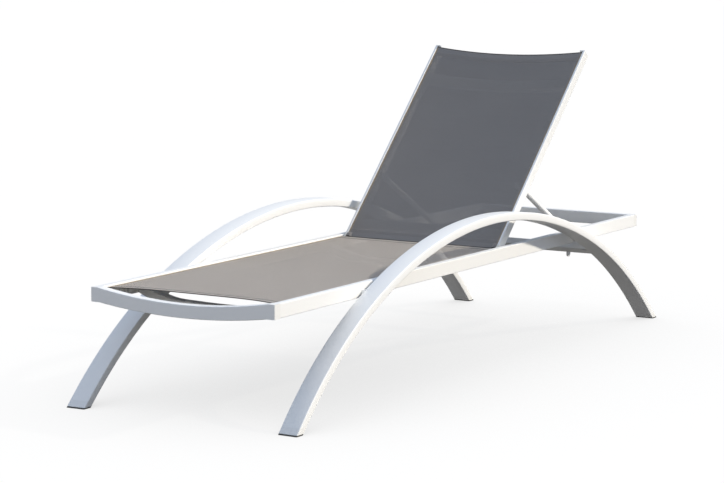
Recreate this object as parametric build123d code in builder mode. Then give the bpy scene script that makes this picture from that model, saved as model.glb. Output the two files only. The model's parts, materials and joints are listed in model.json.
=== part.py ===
from build123d import *
import os
from math import acos, atan2, cos, degrees, hypot, radians, sin

# Sun lounger: two bowed legs carry a sling frame, and a prop stay holds up the reclining backrest.
# It stands on Z = 0 with its length along X: the foot end is at -X and the head end at +X.
# X = 0 is the crest of the bowed legs, and Y = 0 is the middle of the width. Sizes are in millimetres.
# Left and right are those of a person who lies on it, so left is at -Y.
SIDES = {"left": -1, "right": 1}
ENDS = {"foot": -1, "head": 1}

# Sling frame
frame_length = 2000
frame_width = 542
frame_shift = 8
rail_top = 309
rail_height = 36
rail_width = 20
rail_wall = 2
rail_corner = 2
front_bar_depth = 25
front_bar_height = 37
front_bar_top_sag = 22
front_bar_bottom_sag = 18.5
front_bar_straight = 20
rear_bar_depth = 20
bar_wall = 2
bar_corner = 2
end_cap_thickness = 1.5
end_cap_plug = 8
end_cap_play = 0.2

# Sling and the slot that holds it
slot_radius = 2.6
slot_mouth = 1.8
slot_inset = 5
rail_slot_drop = 5.4
keder_radius = 2.2
sling_thickness = 1.2
sling_play = 0.2
seat_sling_corner_x = 37
seat_sling_bow = 14
seat_sling_hinge_gap = 13.6
seat_keder_setback = 3

# Crossbars under the seat: places along Y from the middle, with the drop below the rail's top
seat_bar_places = {"front": 165, "rear": 1052}
seat_bar_depth = 30
seat_bar_wall = 2
seat_bar_top_line = ((0, 40.5), (77, 38), (154, 32))
seat_bar_top_end = 13
seat_bar_bottom_line = ((0, 65.5), (162, 62), (217, 54))
seat_bar_bottom_end = 35

# Screws in the rails
screw_head_radius = 4.5
screw_head_height = 2.6
screw_shank_radius = 2
screw_length = 6
sling_screw_places = {91: 19, 124: 23}

# Bowed legs: a three-centred arch of rectangular tube that leans inwards
leg_crest = 418.5
leg_crown_radius = 1474.5
leg_crown_half_angle = 25
leg_end_radius = 1238.5
leg_width = 55
leg_thickness = 22
leg_wall = 2
leg_corner = 3
leg_lean = 1.375
leg_floor_y = 315
arch_overrun_angle = 2
foot_cap_height = 18
foot_plug_length = 25
foot_plug_play = 0.2
sole_thickness = 3.5

# Leg fixings
spacer_x = 590
spacer_z = 284
spacer_radius = 9
leg_bolt_radius = 4
leg_bolt_head_radius = 7.5
leg_bolt_head_height = 5
leg_nut_radius = 7
leg_nut_height = 6
access_hole_radius = 9
access_plug_rim_radius = 10.5
access_plug_rim = 0.8
access_plug_depth = 2

# Crossbar between the legs, which lies in the slope of the legs
stay_bar_width = 36
stay_bar_height = 20
stay_bar_angle = 27.6
stay_bar_wall = 2
stay_bar_corner = 2

# Backrest
back_angle = 44.4
back_hinge_x = 1161.6
back_hinge_drop = 18
back_length = 742
back_tube_width = 18
back_tube_depth = 28
back_tube_wall = 1.6
back_tube_corner = 3
back_side_gap = 2
back_slot_drop = 3.4
back_sling_start = 17
back_sling_top_setback = 4
back_sling_top_sag = 20
back_keder_setback = 4
back_cap_thickness = 2
back_cap_plug = 15
back_bar_start = 604
back_bar_width = 32
back_bar_depth = 18
back_bar_set = 11
back_bar_bow = 18
back_bar_straight = 6
back_bar_wall = 2
lower_bar_start = 52
lower_bar_width = 26
lower_bar_depth = 18
lower_bar_corner = 3

# Hinge
knuckle_reach = 16
knuckle_plug = 34
knuckle_play = 0.1
hinge_bolt_radius = 4
hinge_head_radius = 7.5
hinge_head_height = 4.5
hinge_bush_radius = 6.5
hinge_play = 0.05
hinge_washer_radius = 9
hinge_washer_play = 0.1
hinge_nut_radius = 6.5
hinge_nut_height = 6

# Stay and its racks
stay_pivot_along = 238.8
stay_angle = 29.75
stay_flat_angle = 4
stay_length = 423.9
stay_y = 221
stay_tube_radius = 8.5
stay_tube_wall = 1.5
stay_eye_radius = 9
stay_eye_length = 16
stay_tail = 11
stay_cap_thickness = 3
stay_cap_plug = 9
stay_bolt_radius = 4
stay_nut_radius = 6
stay_bolt_head_radius = 8
stay_bolt_head_height = 4.5
stay_play = 0.06
stay_side_play = 0.2
foot_rod_radius = 6
sleeve_radius = 8
sleeve_length = 11
rack_y = 202.5
rack_thickness = 5
rack_play = 0.3
rack_notch_depth = 6
rack_notch_shares = (0.25, 0.5, 0.75)
rack_front_rise = 14
rack_front_width = 11
rack_depth = 15
rack_tail = 16
rack_saddle_height = 8
rack_finger_width = 16
rack_finger_length = 14
rack_gusset = 13
rack_gusset_rise = 7

# Places worked out from the sizes above
frame_half = frame_width / 2
frame_foot_x = frame_shift - frame_length / 2
frame_head_x = frame_shift + frame_length / 2
rail_inner = frame_half - rail_width
rail_bottom = rail_top - rail_height
rail_foot_x = frame_foot_x + front_bar_depth
rail_head_x = frame_head_x - rear_bar_depth
bar_half = frame_half - end_cap_thickness
seat_sling_z = rail_top - rail_slot_drop
hinge_x = frame_foot_x + back_hinge_x
hinge_z = rail_top - back_hinge_drop
back_outer = rail_inner - back_side_gap
back_inner = back_outer - back_tube_width
back_middle = (back_outer + back_inner) / 2
back_sling_n = back_tube_depth / 2 - back_slot_drop
back_cos = cos(radians(back_angle))
back_sin = sin(radians(back_angle))

crown_centre_z = leg_crest - leg_crown_radius
crown_sin = sin(radians(leg_crown_half_angle))
crown_cos = cos(radians(leg_crown_half_angle))
end_centre_x = (leg_crown_radius - leg_end_radius) * crown_sin
end_centre_z = crown_centre_z + (leg_crown_radius - leg_end_radius) * crown_cos
arch_end_angle = degrees(acos(-end_centre_z / leg_end_radius)) + arch_overrun_angle
lean_cos = cos(radians(leg_lean))
lean_sin = sin(radians(leg_lean))
leg_inner_floor_y = leg_floor_y - leg_width / 2 / lean_cos

stay_bar_cos = cos(radians(stay_bar_angle))
stay_bar_sin = sin(radians(stay_bar_angle))
stay_bar_x = end_centre_x + (leg_end_radius - leg_thickness / 2) * stay_bar_sin
stay_bar_z = end_centre_z + (leg_end_radius - leg_thickness / 2) * stay_bar_cos


def back_point(along, out):
    """The X and Z of a place on the backrest, along its tubes from the hinge and out to its front."""
    return (
        hinge_x + along * back_cos - out * back_sin,
        hinge_z + along * back_sin + out * back_cos,
    )


def stay_bar_point(along, up):
    """The X and Z of a place on the leg crossbar's section, down its slope and square to it."""
    return (
        stay_bar_x + along * stay_bar_cos + up * stay_bar_sin,
        stay_bar_z - along * stay_bar_sin + up * stay_bar_cos,
    )


def foot_rod_place(share):
    """The X and Z of the stay's foot rod when the backrest has been lowered by a share of its travel."""
    lowered = radians(back_angle * (1 - share))
    slope = radians(stay_angle + (stay_flat_angle - stay_angle) * share)
    pivot_x = hinge_x + stay_pivot_along * cos(lowered)
    pivot_z = hinge_z + stay_pivot_along * sin(lowered)
    return pivot_x + stay_length * cos(slope), pivot_z - stay_length * sin(slope)


def leg_plane(side):
    """The plane of one leg's arch, with its Y running up the lean."""
    return Plane(
        origin=(0, side * leg_floor_y, 0),
        x_dir=(1, 0, 0),
        z_dir=(0, -lean_cos, -side * lean_sin),
    )


def leg_inner_plane(side):
    """The plane of a leg's inner side, facing outwards."""
    return Plane(origin=(0, side * leg_inner_floor_y, 0), z_dir=(0, side * lean_cos, lean_sin))


def arch_band(side, inset):
    """The solid of a leg's arch, with all its faces moved inwards by the inset."""
    corners = [end_centre_x + (leg_end_radius - drop) * sin(radians(arch_end_angle))
               for drop in (inset, leg_thickness - inset)]
    levels = [end_centre_z + (leg_end_radius - drop) * cos(radians(arch_end_angle))
              for drop in (inset, leg_thickness - inset)]
    end_turn = arch_end_angle - leg_crown_half_angle
    with BuildPart() as band:
        with BuildSketch(leg_plane(side)):
            with BuildLine():
                for drop in (inset, leg_thickness - inset):
                    CenterArc((0, crown_centre_z), leg_crown_radius - drop,
                              90 - leg_crown_half_angle, 2 * leg_crown_half_angle)
                    CenterArc((end_centre_x, end_centre_z), leg_end_radius - drop,
                              90 - arch_end_angle, end_turn)
                    CenterArc((-end_centre_x, end_centre_z), leg_end_radius - drop,
                              90 + leg_crown_half_angle, end_turn)
                for end in ENDS.values():
                    Line((end * corners[0], levels[0]), (end * corners[1], levels[1]))
            make_face()
        extrude(amount=leg_width / 2 - inset, both=True)
        if inset == 0:
            fillet(band.edges().filter_by(GeomType.CIRCLE), radius=leg_corner)
    return band.part


def across(place, radius, y_from, y_to, mode=Mode.ADD):
    """A cylinder along Y, through an X and Z place, in the part that is being built."""
    with Locations((place[0], (y_from + y_to) / 2, place[1])):
        Cylinder(radius, abs(y_to - y_from), rotation=(90, 0, 0), mode=mode)


def hexagon(place, radius, y_from, y_to):
    """A hexagonal prism along Y, through an X and Z place, in the part that is being built."""
    with BuildSketch(Plane(origin=(place[0], y_from, place[1]), x_dir=(1, 0, 0), z_dir=(0, -1, 0))) as face:
        RegularPolygon(radius, 6)
    extrude(face.sketch, amount=y_from - y_to)


def slotted_section(side, inner, width, height, top, wall, corner, slot_drop):
    """A hollow section with the sling's slot in its inner side, drawn in the sketch that is open."""
    middle = side * (inner + width / 2)
    with Locations((middle, top - height / 2)):
        RectangleRounded(width, height, corner)
    cavity_top = top - slot_drop - slot_radius - wall
    cavity_bottom = top - height + wall
    with Locations((middle, (cavity_top + cavity_bottom) / 2)):
        Rectangle(width - 2 * wall, cavity_top - cavity_bottom, mode=Mode.SUBTRACT)
    with Locations((side * (inner + slot_inset), top - slot_drop)):
        Circle(slot_radius, mode=Mode.SUBTRACT)
    with Locations((side * (inner + slot_inset / 2), top - slot_drop)):
        Rectangle(slot_inset, slot_mouth, mode=Mode.SUBTRACT)


def bowed_face(half, straight, top, bottom, top_sag, bottom_sag):
    """A bar's face that is bowed between two straight ends, drawn in the sketch that is open."""
    arc_end = half - straight
    with BuildLine() as outline:
        ThreePointArc((-arc_end, top), (0, top - top_sag), (arc_end, top))
        Polyline((arc_end, top), (half, top), (half, bottom), (arc_end, bottom))
        ThreePointArc((arc_end, bottom), (0, bottom - bottom_sag), (-arc_end, bottom))
        Polyline((-arc_end, bottom), (-half, bottom), (-half, top), (-arc_end, top))
    make_face(outline.edges())


def seat_bar_line(places, end_drop, inset, way):
    """The places along one edge of a seat crossbar from left to right, moved by the inset."""
    half = [(y, rail_top - drop + way * inset) for y, drop in places]
    half.append((rail_inner - inset, rail_top - end_drop + way * inset))
    return [(-y, z) for y, z in reversed(half[1:])] + half


def seat_bar_face(inset):
    """The face of a seat crossbar with its edges moved inwards, drawn in the sketch that is open."""
    top = seat_bar_line(seat_bar_top_line, seat_bar_top_end, inset, -1)
    bottom = seat_bar_line(seat_bar_bottom_line, seat_bar_bottom_end, inset, 1)
    with BuildLine() as outline:
        Spline(*top)
        Line(top[-1], bottom[-1])
        Spline(*reversed(bottom))
        Line(bottom[0], top[0])
    make_face(outline.edges())


os.makedirs("parts", exist_ok=True)

# Side rails: extruded sections with a slot for the sling, and holes for the fixings
rail_middle = frame_half - rail_width / 2
for name, side in SIDES.items():
    with BuildPart() as rail:
        with BuildSketch(Plane.YZ.offset(rail_foot_x)):
            slotted_section(side, rail_inner, rail_width, rail_height, rail_top,
                            rail_wall, rail_corner, rail_slot_drop)
        extrude(amount=rail_head_x - rail_foot_x)
        across((hinge_x, hinge_z), hinge_bolt_radius, side * rail_inner, side * rail_middle,
               mode=Mode.SUBTRACT)
        for end in ENDS.values():
            place = (end * spacer_x, spacer_z)
            across(place, access_hole_radius, side * rail_inner, side * rail_middle, mode=Mode.SUBTRACT)
            across(place, leg_bolt_radius, side * rail_middle, side * frame_half, mode=Mode.SUBTRACT)
        for screw_x, drop in sling_screw_places.items():
            across((frame_foot_x + screw_x, rail_top - drop), screw_shank_radius,
                   side * rail_inner, side * (rail_inner + rail_wall), mode=Mode.SUBTRACT)
    rail.part.label = f"side_rail_{name}"
    export_step(rail.part, f"parts/side_rail_{name}.step")

# Front bar: a hollow bar that is bowed downwards between the rails
front_bar_bottom = rail_top - front_bar_height
with BuildPart() as front_bar:
    with BuildSketch(Plane.YZ.offset(frame_foot_x)):
        bowed_face(bar_half, front_bar_straight, rail_top, front_bar_bottom,
                   front_bar_top_sag, front_bar_bottom_sag)
    extrude(amount=front_bar_depth)
    fillet(front_bar.edges().filter_by(Plane.YZ).filter_by(GeomType.CIRCLE), radius=bar_corner)
    with BuildSketch(Plane.YZ.offset(frame_foot_x + bar_wall)):
        bowed_face(bar_half, front_bar_straight, rail_top - bar_wall, front_bar_bottom + bar_wall,
                   front_bar_top_sag, front_bar_bottom_sag)
    extrude(amount=front_bar_depth - 2 * bar_wall, mode=Mode.SUBTRACT)
front_bar.part.label = "front_bar"
export_step(front_bar.part, "parts/front_bar.step")

# Rear bar: a straight rectangular tube
rear_bar_middle_x = frame_head_x - rear_bar_depth / 2
with BuildPart() as rear_bar:
    with BuildSketch(Plane.XZ):
        with Locations((rear_bar_middle_x, rail_top - rail_height / 2)):
            RectangleRounded(rear_bar_depth, rail_height, bar_corner)
            Rectangle(rear_bar_depth - 2 * bar_wall, rail_height - 2 * bar_wall, mode=Mode.SUBTRACT)
    extrude(amount=bar_half, both=True)
rear_bar.part.label = "rear_bar"
export_step(rear_bar.part, "parts/rear_bar.step")

# Caps that close the ends of the front and rear bars
for name, side in SIDES.items():
    with BuildPart() as end_caps:
        for middle_x, depth, height in (
            (frame_foot_x + front_bar_depth / 2, front_bar_depth, front_bar_height),
            (rear_bar_middle_x, rear_bar_depth, rail_height),
        ):
            with BuildSketch(Plane.XZ.offset(-side * bar_half)):
                with Locations((middle_x, rail_top - height / 2)):
                    RectangleRounded(depth, height, bar_corner)
            extrude(amount=-side * end_cap_thickness)
            plug_gap = 2 * (bar_wall + end_cap_play)
            with BuildSketch(Plane.XZ.offset(-side * bar_half)):
                with Locations((middle_x, rail_top - height / 2)):
                    Rectangle(depth - plug_gap, height - plug_gap)
            extrude(amount=side * end_cap_plug)
    end_caps.part.label = f"bar_end_caps_{name}"
    export_step(end_caps.part, f"parts/bar_end_caps_{name}.step")

# Crossbars under the seat: hollow bars that dip between the rails, so that the sling clears them
for name, place in seat_bar_places.items():
    with BuildPart() as seat_bar:
        with BuildSketch(Plane.YZ.offset(frame_foot_x + place)):
            seat_bar_face(0)
        extrude(amount=seat_bar_depth)
        with BuildSketch(Plane.YZ.offset(frame_foot_x + place + seat_bar_wall)):
            seat_bar_face(seat_bar_wall)
        extrude(amount=seat_bar_depth - 2 * seat_bar_wall, mode=Mode.SUBTRACT)
    seat_bar.part.label = f"seat_crossbar_{name}"
    export_step(seat_bar.part, f"parts/seat_crossbar_{name}.step")

# Screws on the inner side of the rails
with BuildPart() as sling_screws:
    for side in SIDES.values():
        for screw_x, drop in sling_screw_places.items():
            place = (frame_foot_x + screw_x, rail_top - drop)
            across(place, screw_head_radius, side * (rail_inner - screw_head_height), side * rail_inner)
            across(place, screw_shank_radius, side * rail_inner, side * (rail_inner + screw_length))
sling_screws.part.label = "sling_screws"
export_step(sling_screws.part, "parts/sling_screws.step")

# Seat sling, a sheet with a hollowed front edge, and the rods in its side hems
sling_half = rail_inner + slot_inset - keder_radius - sling_play
seat_front_x = frame_foot_x + seat_sling_corner_x
seat_rear_x = hinge_x - seat_sling_hinge_gap
with BuildPart() as seat_sling:
    with BuildSketch(Plane.XY.offset(seat_sling_z - sling_thickness / 2)):
        with BuildLine():
            ThreePointArc((seat_front_x, -sling_half), (seat_front_x + seat_sling_bow, 0),
                          (seat_front_x, sling_half))
            Polyline((seat_front_x, sling_half), (seat_rear_x, sling_half),
                     (seat_rear_x, -sling_half), (seat_front_x, -sling_half))
        make_face()
    extrude(amount=sling_thickness)
seat_sling.part.label = "seat_sling"
export_step(seat_sling.part, "parts/seat_sling.step")

for name, side in SIDES.items():
    with BuildPart() as seat_keder:
        with BuildSketch(Plane.YZ.offset(seat_front_x + seat_keder_setback)):
            with Locations((side * (rail_inner + slot_inset), seat_sling_z)):
                Circle(keder_radius)
        extrude(amount=seat_rear_x - seat_front_x - 2 * seat_keder_setback)
    seat_keder.part.label = f"seat_keder_{name}"
    export_step(seat_keder.part, f"parts/seat_keder_{name}.step")

# Bowed legs with their caps, soles and fixings
for name, side in SIDES.items():
    outer_band = arch_band(side, 0)
    bore_band = arch_band(side, leg_wall)
    plug_band = arch_band(side, leg_wall + foot_plug_play)
    spacer_places = [(end * spacer_x, spacer_z) for end in ENDS.values()]
    spacer_face = leg_inner_floor_y - spacer_z * lean_sin / lean_cos

    with BuildPart() as leg:
        add(outer_band)
        add(bore_band, mode=Mode.SUBTRACT)
        split(bisect_by=Plane.XY.offset(foot_cap_height), keep=Keep.TOP)
        for place in spacer_places:
            across(place, leg_bolt_radius, side * frame_half, side * leg_floor_y, mode=Mode.SUBTRACT)
    leg.part.label = f"leg_{name}"
    export_step(leg.part, f"parts/leg_{name}.step")

    for end_name, end in ENDS.items():
        end_half = Keep.TOP if end > 0 else Keep.BOTTOM
        with BuildPart() as foot_plug:
            add(plug_band)
            split(bisect_by=Plane.XY.offset(foot_cap_height), keep=Keep.TOP)
            split(bisect_by=Plane.XY.offset(foot_cap_height + foot_plug_length), keep=Keep.BOTTOM)
            split(bisect_by=Plane.YZ, keep=end_half)
        with BuildPart() as foot_cap:
            add(outer_band)
            split(bisect_by=Plane.XY.offset(sole_thickness), keep=Keep.TOP)
            split(bisect_by=Plane.XY.offset(foot_cap_height), keep=Keep.BOTTOM)
            split(bisect_by=Plane.YZ, keep=end_half)
            add(foot_plug.part)
        foot_cap.part.label = f"foot_cap_{end_name}_{name}"
        export_step(foot_cap.part, f"parts/foot_cap_{end_name}_{name}.step")

        with BuildPart() as sole:
            add(outer_band)
            split(bisect_by=Plane.XY, keep=Keep.TOP)
            split(bisect_by=Plane.XY.offset(sole_thickness), keep=Keep.BOTTOM)
            split(bisect_by=Plane.YZ, keep=end_half)
        sole.part.label = f"sole_{end_name}_{name}"
        export_step(sole.part, f"parts/sole_{end_name}_{name}.step")

    with BuildPart() as spacers:
        for place in spacer_places:
            across(place, spacer_radius, side * frame_half, side * leg_floor_y)
            across(place, leg_bolt_radius, side * frame_half, side * leg_floor_y, mode=Mode.SUBTRACT)
        split(bisect_by=leg_inner_plane(side), keep=Keep.BOTTOM)
    spacers.part.label = f"leg_spacers_{name}"
    export_step(spacers.part, f"parts/leg_spacers_{name}.step")

    head_face = frame_half - rail_wall
    nut_face = spacer_face + leg_wall + leg_thickness * lean_sin
    with BuildPart() as leg_bolts:
        for place in spacer_places:
            across(place, leg_bolt_head_radius, side * (head_face - leg_bolt_head_height), side * head_face)
            across(place, leg_bolt_radius, side * head_face, side * (nut_face + leg_nut_height))
            hexagon(place, leg_nut_radius, side * nut_face, side * (nut_face + leg_nut_height))
    leg_bolts.part.label = f"leg_bolts_{name}"
    export_step(leg_bolts.part, f"parts/leg_bolts_{name}.step")

    with BuildPart() as access_plugs:
        for place in spacer_places:
            across(place, access_plug_rim_radius, side * (rail_inner - access_plug_rim), side * rail_inner)
            across(place, access_hole_radius, side * rail_inner, side * (rail_inner + access_plug_depth))
    access_plugs.part.label = f"rail_hole_plugs_{name}"
    export_step(access_plugs.part, f"parts/rail_hole_plugs_{name}.step")

# Crossbar between the legs, in line with their slope
with BuildPart() as stay_bar:
    stay_bar_section = Plane(
        origin=(stay_bar_x, 0, stay_bar_z),
        x_dir=(stay_bar_cos, 0, -stay_bar_sin),
        z_dir=(0, -1, 0),
    )
    with BuildSketch(stay_bar_section):
        RectangleRounded(stay_bar_width, stay_bar_height, stay_bar_corner)
        Rectangle(stay_bar_width - 2 * stay_bar_wall, stay_bar_height - 2 * stay_bar_wall,
                  mode=Mode.SUBTRACT)
    extrude(amount=leg_floor_y, both=True)
    for side in SIDES.values():
        split(bisect_by=leg_inner_plane(side), keep=Keep.BOTTOM)
stay_bar.part.label = "leg_crossbar"
export_step(stay_bar.part, "parts/leg_crossbar.step")

# Racks: notched plates on the crossbar, with a finger that hooks behind it
rest_place = foot_rod_place(0)
flat_place = foot_rod_place(1)
seat_radius = sleeve_radius + rack_play
finger_x, finger_z = stay_bar_point(stay_bar_width / 2, -stay_bar_height / 2)
finger_radius = rack_finger_width / 2
rack_end_x = flat_place[0] + rack_tail
for name, side in SIDES.items():
    with BuildPart() as rack:
        with BuildSketch(Plane.XZ.offset(-side * rack_y)):
            with BuildLine():
                ThreePointArc((finger_x + rack_finger_width, finger_z - rack_finger_length + finger_radius),
                              (finger_x + finger_radius, finger_z - rack_finger_length),
                              (finger_x, finger_z - rack_finger_length + finger_radius))
                Polyline(
                    (finger_x, finger_z - rack_finger_length + finger_radius),
                    (finger_x, finger_z),
                    stay_bar_point(stay_bar_width / 2, stay_bar_height / 2),
                    stay_bar_point(-stay_bar_width / 2 + stay_bar_corner, stay_bar_height / 2),
                    stay_bar_point(-stay_bar_width / 2 + stay_bar_corner,
                                   stay_bar_height / 2 + rack_saddle_height),
                    (rest_place[0] - seat_radius - rack_front_width, rest_place[1] + rack_front_rise),
                    (rest_place[0] - seat_radius, rest_place[1] + rack_front_rise),
                    (rest_place[0] - seat_radius, rest_place[1] - seat_radius),
                    (rest_place[0], rest_place[1] - seat_radius),
                    (flat_place[0], flat_place[1] - seat_radius),
                    (flat_place[0] + seat_radius, flat_place[1] - seat_radius),
                    (flat_place[0] + seat_radius, flat_place[1]),
                    (rack_end_x, flat_place[1]),
                    (rack_end_x, flat_place[1] - seat_radius - rack_depth),
                    (finger_x + rack_finger_width + rack_gusset, finger_z + rack_gusset_rise),
                    (finger_x + rack_finger_width, finger_z),
                    (finger_x + rack_finger_width, finger_z - rack_finger_length + finger_radius),
                )
            make_face()
            for share in rack_notch_shares:
                notch_x, notch_z = foot_rod_place(share)
                with Locations((notch_x, notch_z - rack_notch_depth)):
                    Circle(seat_radius, mode=Mode.SUBTRACT)
        extrude(amount=rack_thickness / 2, both=True)
    rack.part.label = f"stay_rack_{name}"
    export_step(rack.part, f"parts/stay_rack_{name}.step")

# Backrest side tubes with their top caps and hinge knuckles
tube_along = (back_cos, 0, back_sin)
stay_pivot = back_point(stay_pivot_along, 0)
for name, side in SIDES.items():
    with BuildPart() as back_tube:
        start_x, start_z = back_point(knuckle_reach, 0)
        with BuildSketch(Plane(origin=(start_x, 0, start_z), x_dir=(0, 1, 0), z_dir=tube_along)):
            slotted_section(side, back_inner, back_tube_width, back_tube_depth, back_tube_depth / 2,
                            back_tube_wall, back_tube_corner, back_slot_drop)
        extrude(amount=back_length - back_cap_thickness - knuckle_reach)
        across(stay_pivot, stay_bolt_radius, side * back_inner, side * back_middle, mode=Mode.SUBTRACT)
    back_tube.part.label = f"backrest_tube_{name}"
    export_step(back_tube.part, f"parts/backrest_tube_{name}.step")

    cavity_out = back_tube_depth / 2 - back_slot_drop - slot_radius - back_tube_wall
    cavity_in = -back_tube_depth / 2 + back_tube_wall
    plug_width = back_tube_width - 2 * (back_tube_wall + knuckle_play)
    plug_depth = cavity_out - cavity_in - 2 * knuckle_play
    with BuildPart() as tube_cap:
        cap_x, cap_z = back_point(back_length - back_cap_thickness, 0)
        cap_plane = Plane(origin=(cap_x, 0, cap_z), x_dir=(0, 1, 0), z_dir=tube_along)
        with BuildSketch(cap_plane):
            with Locations((side * back_middle, 0)):
                RectangleRounded(back_tube_width, back_tube_depth, back_tube_corner)
        extrude(amount=back_cap_thickness)
        with BuildSketch(cap_plane):
            with Locations((side * back_middle, (cavity_out + cavity_in) / 2)):
                Rectangle(plug_width, plug_depth)
        extrude(amount=-back_cap_plug)
    tube_cap.part.label = f"backrest_cap_{name}"
    export_step(tube_cap.part, f"parts/backrest_cap_{name}.step")

    with BuildPart() as knuckle:
        side_plane = Plane(origin=(hinge_x, side * back_middle, hinge_z), x_dir=tube_along, z_dir=(0, -1, 0))
        with BuildSketch(side_plane):
            Circle(back_tube_depth / 2)
            with Locations((knuckle_reach / 2, 0)):
                Rectangle(knuckle_reach, back_tube_depth)
        extrude(amount=back_tube_width / 2, both=True)
        with BuildSketch(side_plane):
            with Locations((knuckle_reach + knuckle_plug / 2, (cavity_out + cavity_in) / 2)):
                Rectangle(knuckle_plug, plug_depth)
        extrude(amount=plug_width / 2, both=True)
        across((hinge_x, hinge_z), hinge_bush_radius, side * back_inner, side * back_outer,
               mode=Mode.SUBTRACT)
    knuckle.part.label = f"hinge_knuckle_{name}"
    export_step(knuckle.part, f"parts/hinge_knuckle_{name}.step")

    with BuildPart() as bush:
        across((hinge_x, hinge_z), hinge_bush_radius, side * back_inner, side * back_outer)
        across((hinge_x, hinge_z), hinge_bolt_radius + hinge_play, side * back_inner, side * back_outer,
               mode=Mode.SUBTRACT)
    bush.part.label = f"hinge_bush_{name}"
    export_step(bush.part, f"parts/hinge_bush_{name}.step")

# Hinge bolts, fixed in the rails, with a washer between each rail and knuckle
with BuildPart() as hinge_bolts:
    hinge_place = (hinge_x, hinge_z)
    for side in SIDES.values():
        head_face = back_inner - hinge_washer_play
        nut_face = rail_inner + rail_wall
        across(hinge_place, hinge_head_radius, side * (head_face - hinge_head_height), side * head_face)
        across(hinge_place, hinge_bolt_radius, side * head_face, side * (nut_face + hinge_nut_height))
        hexagon(hinge_place, hinge_nut_radius, side * nut_face, side * (nut_face + hinge_nut_height))
hinge_bolts.part.label = "hinge_bolts"
export_step(hinge_bolts.part, "parts/hinge_bolts.step")

with BuildPart() as hinge_washers:
    for side in SIDES.values():
        washer_face = back_outer + hinge_washer_play
        across(hinge_place, hinge_washer_radius, side * washer_face, side * rail_inner)
        across(hinge_place, hinge_bolt_radius, side * washer_face, side * rail_inner, mode=Mode.SUBTRACT)
hinge_washers.part.label = "hinge_washers"
export_step(hinge_washers.part, "parts/hinge_washers.step")

# Backrest crossbars: a bowed one behind the sling near the top, and a straight one near the hinge
with BuildPart() as back_bar:
    bar_x, bar_z = back_point(back_bar_start, 0)
    bar_plane = Plane(origin=(bar_x, 0, bar_z), x_dir=(0, 1, 0), z_dir=tube_along)
    bar_front = back_bar_depth - back_bar_set
    with BuildSketch(bar_plane):
        bowed_face(back_inner, back_bar_straight, bar_front, -back_bar_set, back_bar_bow, back_bar_bow)
    extrude(amount=back_bar_width)
    bore_x, bore_z = back_point(back_bar_start + back_bar_wall, 0)
    with BuildSketch(Plane(origin=(bore_x, 0, bore_z), x_dir=(0, 1, 0), z_dir=tube_along)):
        bowed_face(back_inner, back_bar_straight, bar_front - back_bar_wall, back_bar_wall - back_bar_set,
                   back_bar_bow, back_bar_bow)
    extrude(amount=back_bar_width - 2 * back_bar_wall, mode=Mode.SUBTRACT)
back_bar.part.label = "backrest_crossbar_top"
export_step(back_bar.part, "parts/backrest_crossbar_top.step")

with BuildPart() as lower_bar:
    lower_x, lower_z = back_point(lower_bar_start + lower_bar_width / 2, 0)
    with BuildSketch(Plane(origin=(lower_x, 0, lower_z), x_dir=tube_along, z_dir=(0, -1, 0))):
        with Locations((0, lower_bar_depth / 2 - back_bar_set)):
            RectangleRounded(lower_bar_width, lower_bar_depth, lower_bar_corner)
            Rectangle(lower_bar_width - 2 * back_bar_wall, lower_bar_depth - 2 * back_bar_wall,
                      mode=Mode.SUBTRACT)
    extrude(amount=back_inner, both=True)
lower_bar.part.label = "backrest_crossbar_lower"
export_step(lower_bar.part, "parts/backrest_crossbar_lower.step")

# Backrest sling, with a top edge that sags between the tubes, and the rods in its side hems
back_sling_half = back_inner + slot_inset - keder_radius - sling_play
back_sling_top = back_length - back_sling_top_setback
with BuildPart() as back_sling:
    sheet_x, sheet_z = back_point(0, back_sling_n - sling_thickness / 2)
    with BuildSketch(Plane(origin=(sheet_x, 0, sheet_z), x_dir=tube_along, z_dir=(-back_sin, 0, back_cos))):
        with BuildLine():
            ThreePointArc((back_sling_top, -back_sling_half), (back_sling_top - back_sling_top_sag, 0),
                          (back_sling_top, back_sling_half))
            Polyline((back_sling_top, back_sling_half), (back_sling_start, back_sling_half),
                     (back_sling_start, -back_sling_half), (back_sling_top, -back_sling_half))
        make_face()
    extrude(amount=sling_thickness)
back_sling.part.label = "backrest_sling"
export_step(back_sling.part, "parts/backrest_sling.step")

for name, side in SIDES.items():
    with BuildPart() as back_keder:
        keder_x, keder_z = back_point(back_sling_start + back_keder_setback, back_sling_n)
        with BuildSketch(Plane(origin=(keder_x, 0, keder_z), x_dir=(0, 1, 0), z_dir=tube_along)):
            with Locations((side * (back_inner + slot_inset), 0)):
                Circle(keder_radius)
        extrude(amount=back_sling_top - back_sling_start - 2 * back_keder_setback)
    back_keder.part.label = f"backrest_keder_{name}"
    export_step(back_keder.part, f"parts/backrest_keder_{name}.step")

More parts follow.
